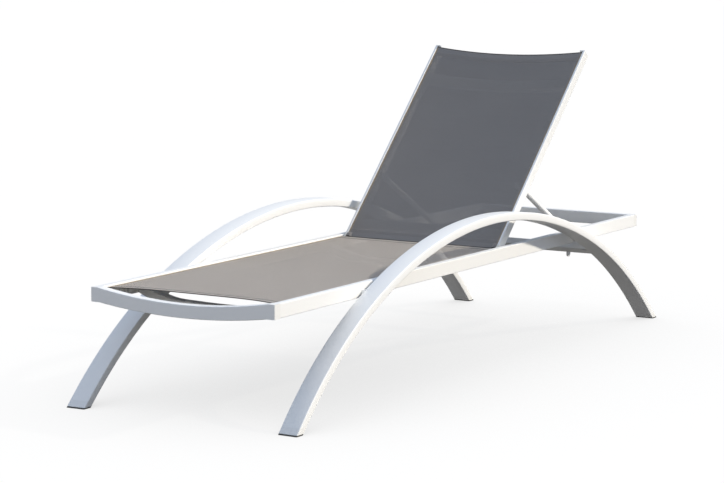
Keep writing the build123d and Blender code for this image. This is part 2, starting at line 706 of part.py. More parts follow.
# Stay: two round arms with an eye at the pivot, joined by the foot rod
stay_cos = cos(radians(stay_angle))
stay_sin = sin(radians(stay_angle))
stay_along = (stay_cos, 0, -stay_sin)
arm_inner = stay_y - stay_tube_radius
arm_outer = stay_y + stay_tube_radius
for name, side in SIDES.items():
    with BuildPart() as arm:
        with BuildSketch(Plane(origin=(stay_pivot[0], side * stay_y, stay_pivot[1]), z_dir=stay_along)):
            Circle(stay_tube_radius)
        extrude(amount=stay_length + stay_tail)
        bore_x = stay_pivot[0] + stay_eye_length * stay_cos
        bore_z = stay_pivot[1] - stay_eye_length * stay_sin
        with BuildSketch(Plane(origin=(bore_x, side * stay_y, bore_z), z_dir=stay_along)):
            Circle(stay_tube_radius - stay_tube_wall)
        extrude(amount=stay_length + stay_tail - stay_eye_length, mode=Mode.SUBTRACT)
        across(stay_pivot, stay_eye_radius, side * arm_inner, side * arm_outer)
        across(stay_pivot, stay_bolt_radius + stay_play, side * arm_inner, side * arm_outer,
               mode=Mode.SUBTRACT)
        across(rest_place, foot_rod_radius, side * arm_inner, side * arm_outer, mode=Mode.SUBTRACT)
    arm.part.label = f"stay_arm_{name}"
    export_step(arm.part, f"parts/stay_arm_{name}.step")

    with BuildPart() as arm_cap:
        end_x = stay_pivot[0] + (stay_length + stay_tail) * stay_cos
        end_z = stay_pivot[1] - (stay_length + stay_tail) * stay_sin
        end_plane = Plane(origin=(end_x, side * stay_y, end_z), z_dir=stay_along)
        with BuildSketch(end_plane):
            Circle(stay_tube_radius)
        extrude(amount=stay_cap_thickness)
        with BuildSketch(end_plane):
            Circle(stay_tube_radius - stay_tube_wall)
        extrude(amount=-stay_cap_plug)
        across(rest_place, foot_rod_radius, side * arm_inner, side * arm_outer, mode=Mode.SUBTRACT)
        fillet(arm_cap.faces().sort_by(Axis(end_plane.origin, stay_along))[-1].edges(),
               radius=stay_cap_thickness / 2)
    arm_cap.part.label = f"stay_end_cap_{name}"
    export_step(arm_cap.part, f"parts/stay_end_cap_{name}.step")

    with BuildPart() as sleeve:
        across(rest_place, sleeve_radius, side * (rack_y - sleeve_length / 2),
               side * (rack_y + sleeve_length / 2))
        across(rest_place, foot_rod_radius, side * (rack_y - sleeve_length / 2),
               side * (rack_y + sleeve_length / 2), mode=Mode.SUBTRACT)
    sleeve.part.label = f"foot_sleeve_{name}"
    export_step(sleeve.part, f"parts/foot_sleeve_{name}.step")

with BuildPart() as foot_rod:
    across(rest_place, foot_rod_radius, -arm_outer, arm_outer)
foot_rod.part.label = "stay_foot_rod"
export_step(foot_rod.part, "parts/stay_foot_rod.step")

# Pivot bolts of the stay, fixed in the backrest tubes, each with a washer beside the arm
with BuildPart() as stay_bolts:
    for side in SIDES.values():
        head_face = arm_inner - stay_side_play
        nut_face = back_inner + back_tube_wall
        across(stay_pivot, stay_bolt_head_radius, side * (head_face - stay_bolt_head_height),
               side * head_face)
        across(stay_pivot, stay_bolt_radius, side * head_face, side * (nut_face + hinge_nut_height))
        hexagon(stay_pivot, stay_nut_radius, side * nut_face, side * (nut_face + hinge_nut_height))
stay_bolts.part.label = "stay_pivot_bolts"
export_step(stay_bolts.part, "parts/stay_pivot_bolts.step")

with BuildPart() as stay_washers:
    for side in SIDES.values():
        washer_face = arm_outer + stay_side_play
        across(stay_pivot, stay_eye_radius, side * washer_face, side * back_inner)
        across(stay_pivot, stay_bolt_radius, side * washer_face, side * back_inner, mode=Mode.SUBTRACT)
stay_washers.part.label = "stay_washers"
export_step(stay_washers.part, "parts/stay_washers.step")
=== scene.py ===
import json
import math
import bpy
from bpy.props import FloatProperty, FloatVectorProperty, IntProperty, StringProperty
from mathutils import Matrix, Vector


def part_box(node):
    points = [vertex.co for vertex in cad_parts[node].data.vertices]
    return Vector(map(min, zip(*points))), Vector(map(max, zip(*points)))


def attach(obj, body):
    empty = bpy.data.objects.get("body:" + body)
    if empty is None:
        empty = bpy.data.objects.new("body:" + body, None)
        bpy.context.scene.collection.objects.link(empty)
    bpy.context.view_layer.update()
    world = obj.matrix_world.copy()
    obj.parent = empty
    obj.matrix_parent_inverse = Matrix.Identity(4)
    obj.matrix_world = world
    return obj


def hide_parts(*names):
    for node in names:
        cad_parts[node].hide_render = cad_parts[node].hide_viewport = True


bl_info = {
    "name": "Sling lounger",
    "version": (1, 0, 0),
    "blender": (4, 5, 0),
    "location": "3D View > Sidebar > Lounger",
    "description": "Dresses the sun lounger's frame with legs, tubes, crossbars, slings, finishes and light",
    "category": "Object",
}

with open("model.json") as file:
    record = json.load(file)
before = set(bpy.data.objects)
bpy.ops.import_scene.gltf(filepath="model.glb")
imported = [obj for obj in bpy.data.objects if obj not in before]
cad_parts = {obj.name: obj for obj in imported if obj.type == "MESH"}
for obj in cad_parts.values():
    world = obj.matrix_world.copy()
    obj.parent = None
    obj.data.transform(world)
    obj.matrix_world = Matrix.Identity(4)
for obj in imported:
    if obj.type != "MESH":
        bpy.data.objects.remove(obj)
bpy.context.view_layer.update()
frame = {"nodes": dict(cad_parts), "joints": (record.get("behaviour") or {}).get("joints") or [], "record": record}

SIDES = {"left": -1, "right": 1}
ENDS = {"foot": -1, "head": 1}
MM = 0.001
SAME_PLACE = 0.01 * MM
SOFT_EDGE = math.radians(40)
CRISP_EDGE = math.radians(30)

# Places that the frame gives
HINGE_JOINT = next(joint for joint in frame["joints"] if joint["name"] == "backrest_hinge")
HINGE = Vector(HINGE_JOINT["pos_m"])
BACK_ANGLE = math.radians(-HINGE_JOINT["range_deg"][0])
BACK_ALONG = Vector((math.cos(BACK_ANGLE), 0, math.sin(BACK_ANGLE)))
BACK_OUT = Vector((-math.sin(BACK_ANGLE), 0, math.cos(BACK_ANGLE)))
RAIL_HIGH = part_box("side_rail_left")[1]
RAIL_INNER = -RAIL_HIGH.y
SEAT_LOW, SEAT_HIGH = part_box("seat_sling")
SEAT_HALF = SEAT_HIGH.y
TUBE_OUTER = -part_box("backrest_tube_left")[0].y
TUBE_INNER = -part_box("backrest_tube_left")[1].y

# The backrest's tubes hold its sling under a narrow front lip
LIP_WIDTH = 7.2 * MM
SLING_IN_LIP = 1.2 * MM
TUBE_LIP = TUBE_OUTER - LIP_WIDTH
BACK_HALF = TUBE_LIP + SLING_IN_LIP

# How the cloth bends: a high power flattens a bow's middle, a low one carries a sag nearer to the ends
SEAT_BOW_POWER = 4
SEAT_SAG_POWER = 0.5
BACK_SAG_POWER = 0.8

# The backrest's lower hem: its air beside the lips, its climb beside a knuckle and its way down past one
TONGUE_GAP = 0.3 * MM
KNUCKLE_CLIMB = 4 * MM
KNUCKLE_FADE = 8 * MM

# Rows of stitches as shares of a hem's width, and the way from stitch to stitch in stitches
STITCH_ROWS = (0.85, 0.7)
STITCH_PITCH = 1.25

# How far a side tape reaches into the rail, and ends short of the sling's ends as a share of its length
TAPE_IN_RAIL = 0.4 * MM
TAPE_INSET = 0.002

# Points along and across the grids of the woven pieces
SEAT_GRID = (161, 81)
BACK_GRID = (121, 73)
HEM_GRID = (41, 97)
TAPE_GRID = (161, 5)

# Steps round the arcs of a backrest tube's outline and along a crossbar's edges
CORNER_STEPS = 5
LIP_STEPS = 4
SLOT_STEPS = 16
ROD_STEPS = 24
BAR_STEPS = 8

# Stage: where the sky's tones change along +X and upwards, the sun, the floor and the camera
SKY_TURN = (-0.7, 0.7)
SKY_CLIMB = (0.05, 0.6)
SUN_DISTANCE = 8
FLOOR_DROP = 0.2 * MM
FILM_WIDTH = 36
VIEW_END = 400

# A Mix node's colour sockets
MIX_FIRST, MIX_SECOND, MIX_COLOUR = 6, 7, 2

# The finish of each of the record's material slots
SLOT_FINISHES = {
    "white_paint": "powder_coat_white", "sling_mesh": "woven_vinyl_mesh", "keder": "side_tape_woven",
    "white_plastic": "cap_plastic", "cream_plastic": "cream_plastic", "nylon": "nylon",
    "sole_rubber": "sole_rubber", "steel_fixings": "stainless_steel_turned",
}

# Moulded finishes: colour setting, roughness, and the size and depth of the grain in millimetres
MOULDED = {
    "cap_plastic": ("plastic", 0.45, 0.8, 0.06), "cream_plastic": ("cream", 0.5, 0.8, 0.06),
    "sole_rubber": ("rubber", 0.8, 1.5, 0.15), "nylon": ("nylon", 0.5, 0.6, 0.05),
    "nylon_natural": ("plastic", 0.5, 0.6, 0.05), "sewing_thread": ("sling_dark", 0.6, 0.4, 0.05),
    # The binding's dark colour is painted shade: the thin shaded line along each end hem's fold
    "binding_painted_shade": ("binding", 0.7, 0.8, 0.1),
}


class LegSizes(bpy.types.PropertyGroup):
    """Sizes of the bowed legs, as three-centred arches of rectangular tube"""

    crest: FloatProperty(
        name="Crest", description="Height of the arch's upper face in the middle", default=418.5 * MM,
        unit="LENGTH")
    crown_radius: FloatProperty(
        name="Crown radius", description="Radius of the upper face in the middle stretch", default=1474.5 * MM,
        unit="LENGTH")
    crown_half_angle: FloatProperty(
        name="Crown half angle", description="Where the middle stretch ends", default=math.radians(25),
        subtype="ANGLE")
    end_radius: FloatProperty(
        name="End radius", description="Radius of the upper face towards the feet", default=1238.5 * MM,
        unit="LENGTH")
    end_turn: FloatProperty(
        name="End turn", description="How far each end stretch turns before it is cut", default=math.radians(24),
        subtype="ANGLE")
    width: FloatProperty(
        name="Width", description="Width of the tube across the lounger", default=55 * MM, unit="LENGTH")
    thickness: FloatProperty(
        name="Thickness", description="Thickness of the tube", default=22 * MM, unit="LENGTH")
    corner: FloatProperty(
        name="Corner", description="Radius of the tube's corners", default=3 * MM, unit="LENGTH")
    lean: FloatProperty(
        name="Lean", description="How far each leg leans inwards", default=math.radians(1.375), subtype="ANGLE")
    floor_y: FloatProperty(
        name="Floor place", description="Distance of a leg's middle from the lounger's middle at the floor",
        default=315 * MM, unit="LENGTH")
    crown_steps: IntProperty(name="Crown steps", description="Steps round the middle stretch", default=72)
    end_steps: IntProperty(name="End steps", description="Steps round each end stretch", default=36)


class BarSizes(bpy.types.PropertyGroup):
    """Sizes of the backrest's side tubes and of the crossbars under the seat"""

    depth: FloatProperty(
        name="Tube depth", description="Depth of the backrest's tubes", default=28 * MM, unit="LENGTH")
    corner: FloatProperty(
        name="Tube corner", description="Corner radius of the backrest's tubes", default=3 * MM, unit="LENGTH")
    wall: FloatProperty(
        name="Tube wall", description="Wall of the backrest's tubes", default=0.7 * MM, unit="LENGTH")
    shoulder: FloatProperty(
        name="Shoulder", description="Depth of the shoulder that the sling lies on", default=4 * MM,
        unit="LENGTH")
    mouth: FloatProperty(
        name="Slot mouth", description="Height of the slot's mouth", default=1.4 * MM, unit="LENGTH")
    groove: FloatProperty(
        name="Slot", description="Radius of the slot that holds the rod", default=1.8 * MM, unit="LENGTH")
    slot_gap: FloatProperty(
        name="Mouth depth", description="Depth of the slot's mouth", default=0.2 * MM, unit="LENGTH")
    lip_corner: FloatProperty(
        name="Lip corner", description="Corner radius of the front lip", default=1 * MM, unit="LENGTH")
    shoulder_corner: FloatProperty(
        name="Shoulder corner", description="Corner radius of the shoulder", default=2 * MM, unit="LENGTH")
    rod: FloatProperty(
        name="Rod", description="Radius of the rod in the sling's side hem", default=1.5 * MM, unit="LENGTH")
    bar_top_places: FloatVectorProperty(
        name="Crossbar, places on top", description="Places along half of a crossbar's top edge",
        size=3, default=(0, 77 * MM, 154 * MM))
    bar_top_drops: FloatVectorProperty(
        name="Crossbar, top", description="Drop of the top edge below the rail's top, the last at its end",
        size=4, default=(48 * MM, 46.5 * MM, 41.5 * MM, 13 * MM))
    bar_bottom_places: FloatVectorProperty(
        name="Crossbar, places below", description="Places along half of a crossbar's lower edge",
        size=3, default=(0, 162 * MM, 217 * MM))
    bar_bottom_drops: FloatVectorProperty(
        name="Crossbar, below", description="Drop of the lower edge below the rail's top, the last at its end",
        size=4, default=(66 * MM, 58 * MM, 46 * MM, 33 * MM))
    bar_bevel: FloatProperty(
        name="Crossbar bevel", description="Rounding of a crossbar's edges", default=0.8 * MM, unit="LENGTH")


class SlingSizes(bpy.types.PropertyGroup):
    """Sizes of the two slings, their hems and their side tapes"""

    thickness: FloatProperty(
        name="Thickness", description="Thickness of the mesh", default=0.4 * MM, unit="LENGTH")
    hem_ply: FloatProperty(
        name="Hem ply", description="Thickness of the mesh that is folded over in a hem", default=0.4 * MM,
        unit="LENGTH")
    seat_bow: FloatProperty(
        name="Front bow", description="How far the seat's front edge is hollowed", default=31 * MM, unit="LENGTH")
    seat_sag: FloatProperty(
        name="Seat sag", description="How far the seat sags in its middle", default=3 * MM, unit="LENGTH")
    back_start: FloatProperty(
        name="Backrest start", description="Distance of the backrest's lower corners from the hinge",
        default=17 * MM, unit="LENGTH")
    tongue_start: FloatProperty(
        name="Lower hem start", description="Distance of the backrest's lower hem from the hinge",
        default=4.5 * MM, unit="LENGTH")
    knuckle_rise: FloatProperty(
        name="Knuckle rise", description="How far the lower hem is lifted where it lies over a knuckle",
        default=4.5 * MM, unit="LENGTH")
    knuckle_reach: FloatProperty(
        name="Knuckle reach", description="Length of the hinge knuckles from the hinge", default=16 * MM,
        unit="LENGTH")
    # The edge binding is a dark strip that paints the thin shaded line along each end hem's fold
    binding: FloatProperty(
        name="Edge binding", description="Width of the dark binding on the slings' end hems", default=2.2 * MM,
        unit="LENGTH")
    back_top: FloatProperty(
        name="Backrest top", description="Distance of the backrest's top corners from the hinge",
        default=738 * MM, unit="LENGTH")
    back_top_sag: FloatProperty(
        name="Top sag", description="How far the backrest's top edge dips in its middle", default=20 * MM,
        unit="LENGTH")
    back_out: FloatProperty(
        name="Backrest plane", description="Distance of the sling in front of the hinge line", default=10.6 * MM,
        unit="LENGTH")
    back_sag: FloatProperty(
        name="Backrest sag", description="How far the backrest sags in its middle", default=4 * MM, unit="LENGTH")
    hem: FloatProperty(
        name="Hem", description="Width of the folded hems", default=30 * MM, unit="LENGTH")
    tape: FloatProperty(
        name="Tape", description="Width of the side tapes that show", default=5 * MM, unit="LENGTH")
    tape_thickness: FloatProperty(
        name="Tape thickness", description="Thickness of the side tapes", default=0.7 * MM, unit="LENGTH")
    stitch: FloatProperty(
        name="Stitch", description="Length of one stitch", default=4 * MM, unit="LENGTH")
    thread: FloatProperty(
        name="Thread", description="Radius of the sewing thread", default=0.45 * MM, unit="LENGTH")


class FinishSettings(bpy.types.PropertyGroup):
    """Colours and grain sizes of the finishes"""

    paint: StringProperty(name="Paint", description="Powder coat, as sRGB hex", default="F1F0EC")
    paint_cool: StringProperty(
        name="Paint, cooler", description="The coat's other tone, as sRGB hex", default="EDEDEB")
    sling_light: StringProperty(
        name="Mesh, lighter", description="Lighter yarn, as sRGB hex", default="908B85")
    sling_dark: StringProperty(
        name="Mesh, darker", description="Darker yarn, as sRGB hex", default="857F7A")
    sling_sheen: StringProperty(
        name="Mesh sheen", description="Gloss of the yarn at low angles, as sRGB hex", default="FFF3E4")
    # The binding's dark colour is painted shade along each end hem's fold
    binding: StringProperty(
        name="Edge binding", description="Binding on the end hems, as sRGB hex", default="38332D")
    tape: StringProperty(name="Tape", description="Side tape, as sRGB hex", default="A08F78")
    plastic: StringProperty(name="Caps", description="Moulded caps, as sRGB hex", default="F1F0EC")
    cream: StringProperty(name="Cream parts", description="Moulded stay parts, as sRGB hex", default="DED8C8")
    rubber: StringProperty(name="Soles", description="Rubber soles, as sRGB hex", default="3A3835")
    nylon: StringProperty(name="Washers", description="Nylon washers, as sRGB hex", default="3C3C3E")
    steel: StringProperty(name="Fixings", description="Stainless steel, as sRGB hex", default="B9B9BA")
    yarn_spacing: FloatProperty(
        name="Yarn spacing", description="Distance between the mesh's yarns", default=1.3 * MM, unit="LENGTH")
    peel_size: FloatProperty(
        name="Orange peel", description="Size of the powder coat's ripples", default=2.2 * MM, unit="LENGTH")


class StageSettings(bpy.types.PropertyGroup):
    """Camera, sun, sky and floor"""

    camera_place: FloatVectorProperty(
        name="Camera", description="Place of the camera", default=(-6.0307, -3.5705, 1.2873), subtype="XYZ")
    camera_yaw: FloatProperty(
        name="Yaw", description="Heading of the camera from +X towards +Y", default=math.radians(31.25),
        subtype="ANGLE")
    camera_pitch: FloatProperty(
        name="Pitch", description="How far the camera looks down", default=math.radians(7.82), subtype="ANGLE")
    lens: FloatProperty(name="Lens", description="Focal length in millimetres", default=128.1)
    sun_direction: FloatVectorProperty(
        name="Sun direction", description="Direction from the lounger to the sun", default=(0.86, -1.0, 0.86),
        subtype="XYZ")
    sun_strength: FloatProperty(name="Sun", description="Strength of the sun", default=3.9)
    sun_colour: StringProperty(name="Sun colour", description="Sunlight, as sRGB hex", default="FFF7EA")
    sun_angle: FloatProperty(
        name="Sun size", description="Softens the shadows' edges", default=math.radians(3), subtype="ANGLE")
    sky_strength: FloatProperty(name="Sky", description="Strength of the sky's light", default=1.5)
    sky_foot: StringProperty(
        name="Sky, foot end", description="Skylight from beyond the foot end, as sRGB hex", default="F2F2F5")
    sky_top: StringProperty(
        name="Sky above", description="Tone of the sky overhead, as sRGB hex", default="8A9AB2")
    sky_head: StringProperty(
        name="Sky, head end", description="Skylight from beyond the head end, as sRGB hex", default="6A717C")
    floor_radius: FloatProperty(
        name="Floor radius", description="Radius of the floor", default=70.0, unit="LENGTH")
    floor_white: StringProperty(
        name="Floor", description="The floor as the camera sees it, as sRGB hex", default="FFFFFF")
    floor_bounce: StringProperty(
        name="Floor bounce", description="The floor as it lights the object, as sRGB hex", default="2E2B27")
    floor_shadow: StringProperty(
        name="Floor shadow", description="The floor's darkest place under the lounger, as sRGB hex", default="DCDCDC")
    floor_shadow_reach: FloatProperty(
        name="Shadow reach", description="How far the lounger darkens the floor", default=0.9, unit="LENGTH")
    floor_lit_share: FloatProperty(
        name="Floor light", description="How much of the floor's look comes from the light on it", default=0.03,
        min=0, max=1)


def linear(hex_code):
    """An sRGB hex colour as linear red, green, blue and alpha."""
    values = [int(hex_code[i:i + 2], 16) / 255 for i in (0, 2, 4)]
    return [v / 12.92 if v <= 0.04045 else ((v + 0.055) / 1.055) ** 2.4 for v in values] + [1.0]


def add_node(tree, kind, settings=None, inputs=None):
    """Adds a node, sets its properties, and fills or links its inputs, a node by its first output."""
    node = tree.nodes.new(kind)
    for name, value in (settings or {}).items():
        setattr(node, name, value)
    for name, value in (inputs or {}).items():
        if isinstance(value, bpy.types.Node):
            value = value.outputs[0]
        if isinstance(value, bpy.types.NodeSocket):
            tree.links.new(value, node.inputs[name])
        else:
            node.inputs[name].default_value = value
    return node


def new_material(name):
    """An empty node material and its nodes."""
    material = bpy.data.materials.new(name)
    material.use_nodes = True
    material.node_tree.nodes.clear()
    return material, material.node_tree


def shaded(colour, share):
    """A linear colour at a share of its brightness."""
    return [share * c for c in colour[:3]] + [1.0]


def powder_coat(finish):
    """Powder-coated aluminium, sprayed and baked: an off-white skin with a soft gloss"""
    material, tree = new_material("powder_coat_white")
    place = add_node(tree, "ShaderNodeTexCoord").outputs["Object"]
    # The coat's tone and gloss drift over about 300 mm, where the powder lies thicker or thinner
    drift = add_node(tree, "ShaderNodeTexNoise", inputs={"Vector": place, "Scale": 3, "Detail": 3})
    colour = add_node(tree, "ShaderNodeMix", {"data_type": "RGBA"}, {
        0: drift, MIX_FIRST: linear(finish.paint), MIX_SECOND: linear(finish.paint_cool)})
    roughness = add_node(tree, "ShaderNodeMapRange", inputs={"Value": drift, "To Min": 0.44, "To Max": 0.54})
    # Orange peel, which shows only as a slight unevenness in the gloss
    peel = add_node(tree, "ShaderNodeTexNoise", inputs={
        "Vector": place, "Scale": 1 / finish.peel_size, "Detail": 2})
    bump = add_node(tree, "ShaderNodeBump", inputs={"Strength": 0.01, "Distance": 0.1 * MM, "Height": peel})
    skin = add_node(tree, "ShaderNodeBsdfPrincipled", inputs={
        "Base Color": colour.outputs[MIX_COLOUR], "Roughness": roughness, "IOR": 1.5, "Normal": bump})
    add_node(tree, "ShaderNodeOutputMaterial", inputs={"Surface": skin})
    return material


def woven_mesh(finish, name="woven_vinyl_mesh", hole_share=0.62, tint=1.0):
    """Vinyl-coated polyester yarn in plain weave: matt, with small holes that make it slightly see-through"""
    material, tree = new_material(name)
    weave = add_node(tree, "ShaderNodeUVMap", {"uv_map": "Weave"})
    axes = add_node(tree, "ShaderNodeSeparateXYZ", inputs={0: weave})
    # Yarns differ a little, which gives streaks 6 mm wide across the sling, and the cloth is cloudy over 140 mm
    streak_place = add_node(tree, "ShaderNodeMapping", inputs={"Vector": weave, "Scale": (160, 5, 1)})
    streak = add_node(tree, "ShaderNodeTexNoise", inputs={"Vector": streak_place, "Scale": 1})
    cloud = add_node(tree, "ShaderNodeTexNoise", inputs={"Vector": weave, "Scale": 7, "Detail": 4})
    # Round yarns pass over and under each other, and there is a hole where neither is near its crown
    values = {"length": axes.outputs[0], "width": axes.outputs[1], "streak": streak, "cloud": cloud}
    for value, operation, first, second in (
            ("warp", "DIVIDE", "length", finish.yarn_spacing), ("weft", "DIVIDE", "width", finish.yarn_spacing),
            ("warp_turn", "MULTIPLY", "warp", math.pi), ("weft_turn", "MULTIPLY", "weft", math.pi),
            ("warp_wave", "SINE", "warp_turn", 0), ("weft_wave", "SINE", "weft_turn", 0),
            ("warp_round", "ABSOLUTE", "warp_wave", 0), ("weft_round", "ABSOLUTE", "weft_wave", 0),
            ("warp_count", "FLOOR", "warp", 0), ("weft_count", "FLOOR", "weft", 0),
            ("count", "ADD", "warp_count", "weft_count"), ("parity", "PINGPONG", "count", 1),
            ("sunk", "MULTIPLY", "parity", 0.45),
            ("warp_level", "SUBTRACT", 1, "sunk"), ("weft_level", "ADD", "sunk", 0.55),
            ("warp_height", "MULTIPLY", "warp_round", "warp_level"),
            ("weft_height", "MULTIPLY", "weft_round", "weft_level"),
            ("height", "MAXIMUM", "warp_height", "weft_height"),
            ("crown", "MAXIMUM", "warp_round", "weft_round"), ("solid", "GREATER_THAN", "crown", hole_share),
            ("streaks", "MULTIPLY", "streak", 0.6), ("clouds", "MULTIPLY", "cloud", 0.4),
            ("tone", "ADD", "streaks", "clouds")):
        values[value] = add_node(tree, "ShaderNodeMath", {"operation": operation}, {
            0: values.get(first, first), 1: values.get(second, second)})
    colour = add_node(tree, "ShaderNodeMix", {"data_type": "RGBA"}, {
        0: values["tone"], MIX_FIRST: shaded(linear(finish.sling_dark), tint),
        MIX_SECOND: shaded(linear(finish.sling_light), tint)})
    bump = add_node(tree, "ShaderNodeBump", inputs={
        "Strength": 0.5, "Distance": 0.35 * MM, "Height": values["height"]})
    # The vinyl's sheen pales the mesh in sun that falls on it at a low angle
    yarn = add_node(tree, "ShaderNodeBsdfPrincipled", inputs={
        "Base Color": colour.outputs[MIX_COLOUR], "Roughness": 0.6, "Alpha": values["solid"], "Normal": bump,
        "Sheen Weight": 1, "Sheen Roughness": 0.3, "Sheen Tint": linear(finish.sling_sheen)})
    add_node(tree, "ShaderNodeOutputMaterial", inputs={"Surface": yarn})
    return material


def moulded(name, hex_code, roughness, grain, depth):
    """Moulded plastic or rubber: one matt colour, painted darker in its grain's pits as shade, with its mould's grain
    drawn coarse enough for a close view
    """
    material, tree = new_material(name)
    place = add_node(tree, "ShaderNodeTexCoord").outputs["Object"]
    pits = add_node(tree, "ShaderNodeTexNoise", inputs={"Vector": place, "Scale": 1 / grain, "Detail": 3})
    bump = add_node(tree, "ShaderNodeBump", inputs={"Strength": 0.2, "Distance": depth, "Height": pits})
    # The grain's low places are painted up to 12% darker, as painted shade in its pits
    colour = add_node(tree, "ShaderNodeMix", {"data_type": "RGBA"}, {
        0: pits, MIX_FIRST: shaded(linear(hex_code), 0.88), MIX_SECOND: linear(hex_code)})
    skin = add_node(tree, "ShaderNodeBsdfPrincipled", inputs={
        "Base Color": colour.outputs[MIX_COLOUR], "Roughness": roughness, "Normal": bump})
    add_node(tree, "ShaderNodeOutputMaterial", inputs={"Surface": skin})
    return material


def turned_steel(finish):
    """Turned stainless steel bolts: bright metal whose gloss varies over about 1 mm"""
    material, tree = new_material("stainless_steel_turned")
    place = add_node(tree, "ShaderNodeTexCoord").outputs["Object"]
    marks = add_node(tree, "ShaderNodeTexNoise", inputs={"Vector": place, "Scale": 900, "Detail": 2})
    roughness = add_node(tree, "ShaderNodeMapRange", inputs={"Value": marks, "To Min": 0.26, "To Max": 0.42})
    metal = add_node(tree, "ShaderNodeBsdfPrincipled", inputs={
        "Base Color": linear(finish.steel), "Metallic": 1, "Roughness": roughness})
    add_node(tree, "ShaderNodeOutputMaterial", inputs={"Surface": metal})
    return material


def tape_weave(finish):
    """Woven polyester tape over the side hems' rods: brown and matt, with ribs across it about 1 mm apart"""
    material, tree = new_material("side_tape_woven")
    weave = add_node(tree, "ShaderNodeUVMap", {"uv_map": "Weave"})
    ribs = add_node(tree, "ShaderNodeTexWave", {"bands_direction": "X"}, {
        "Vector": weave, "Scale": 1 / (3 * MM), "Distortion": 0.6}).outputs["Fac"]
    bump = add_node(tree, "ShaderNodeBump", inputs={"Strength": 0.4, "Distance": 0.2 * MM, "Height": ribs})
    # The ribs' valleys are painted 20% darker, as painted shade between the ribs
    colour = add_node(tree, "ShaderNodeMix", {"data_type": "RGBA"}, {
        0: ribs, MIX_FIRST: shaded(linear(finish.tape), 0.8), MIX_SECOND: linear(finish.tape)})
    yarn = add_node(tree, "ShaderNodeBsdfPrincipled", inputs={
        "Base Color": colour.outputs[MIX_COLOUR], "Roughness": 0.7, "Normal": bump})
    add_node(tree, "ShaderNodeOutputMaterial", inputs={"Surface": yarn})
    return material


def finishes():
    """All materials, made once and kept by name."""
    finish = bpy.context.scene.lounger_finish
    if "powder_coat_white" not in bpy.data.materials:
        powder_coat(finish)
        woven_mesh(finish)
        woven_mesh(finish, "woven_vinyl_hem", hole_share=0.0, tint=0.9)
        tape_weave(finish)
        turned_steel(finish)
        for name, (colour, roughness, grain, depth) in MOULDED.items():
            moulded(name, getattr(finish, colour), roughness, grain * MM, depth * MM)
    return bpy.data.materials


def clear_selection():
    """Nothing is selected, so that an operator acts only on what is chosen next."""
    bpy.ops.object.select_all(action="DESELECT")


def choose(obj):
    """One object is selected and active."""
    clear_selection()
    obj.select_set(True)
    bpy.context.view_layer.objects.active = obj


def finish_piece(obj, body, slot, finish=None):
    """Puts a piece's place into its mesh and gives it its body and a finish: the one given, or its slot's own."""
    choose(obj)
    obj.data.name = obj.name
    bpy.ops.object.transform_apply(location=True, rotation=True, scale=True)
    obj.data.materials.clear()
    obj.data.materials.append(finishes()[finish or SLOT_FINISHES[slot]])
    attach(obj, body)
    return obj


def woven_sheet(name, grid, place, thickness):
    """A sheet of cloth on a grid, whose points a function puts in space and on the flat cloth."""
    clear_selection()
    bpy.ops.mesh.primitive_grid_add(x_subdivisions=grid[0], y_subdivisions=grid[1], size=2)
    sheet = bpy.context.object
    flat = {}
    for vertex in sheet.data.vertices:
        spot, weave = place((vertex.co.x + 1) / 2, vertex.co.y)
        flat[vertex.index] = weave
        vertex.co = spot
    layer = sheet.data.uv_layers.active or sheet.data.uv_layers.new()
    layer.name = "Weave"
    for loop in sheet.data.loops:
        layer.data[loop.index].uv = flat[loop.vertex_index]
    solid = sheet.modifiers.new("Solidify", "SOLIDIFY")
    solid.thickness = thickness
    solid.offset = 0
    bpy.ops.object.modifier_apply(modifier=solid.name)
    bpy.ops.object.shade_smooth_by_angle(angle=SOFT_EDGE)
    sheet.name = name
    return sheet


def slack(share, across, power):
    """How much of its sag a sling has at a place: none at its edges and all in its middle."""
    return (1 - across * across) * math.sin(math.pi * min(max(share, 0), 1)) ** power


def seat_point(share, across, up=0.0):
    """A place on the seat sling, by its share of the length, its place across from -1 to 1, and its height."""
    sizes = bpy.context.scene.lounger_sling
    front = SEAT_LOW.x + sizes.seat_bow * (1 - across ** SEAT_BOW_POWER)
    x = front + share * (SEAT_HIGH.x - front)
    z = (SEAT_LOW.z + SEAT_HIGH.z) / 2 - sizes.seat_sag * slack(share, across, SEAT_SAG_POWER) + up
    return Vector((x, across * SEAT_HALF, z)), (x, across * SEAT_HALF)


def back_point(share, across, up=0.0):
    """A place on the backrest sling, by its share of the height, its place across and its distance out."""
    sizes = bpy.context.scene.lounger_sling
    top = sizes.back_top - sizes.back_top_sag * (1 - across * across)
    along = sizes.back_start + share * (top - sizes.back_start)
    sag = sizes.back_sag * slack(share, across, BACK_SAG_POWER)
    spot = HINGE + BACK_ALONG * along + BACK_OUT * (sizes.back_out - sag + up)
    spot.y = across * BACK_HALF
    return spot, (along, across * BACK_HALF)


def smooth_step(value, start, end):
    """A smooth climb from 0 to 1 between two values."""
    share = min(max((value - start) / (end - start), 0), 1)
    return share * share * (3 - 2 * share)


def tongue_point(share, across, up=0.0):
    """A place on the backrest's lower hem, which reaches down between the knuckles and lies over them."""
    sizes = bpy.context.scene.lounger_sling
    along = sizes.tongue_start + share * (sizes.back_start + sizes.hem - sizes.tongue_start)
    y = across * (TUBE_LIP - TONGUE_GAP)
    over = smooth_step(abs(y), TUBE_INNER - KNUCKLE_CLIMB, TUBE_INNER)
    over *= 1 - smooth_step(along, sizes.knuckle_reach, sizes.knuckle_reach + KNUCKLE_FADE)
    spot = HINGE + BACK_ALONG * along + BACK_OUT * (sizes.back_out + over * sizes.knuckle_rise + up)
    spot.y = y
    return spot, (along, y)


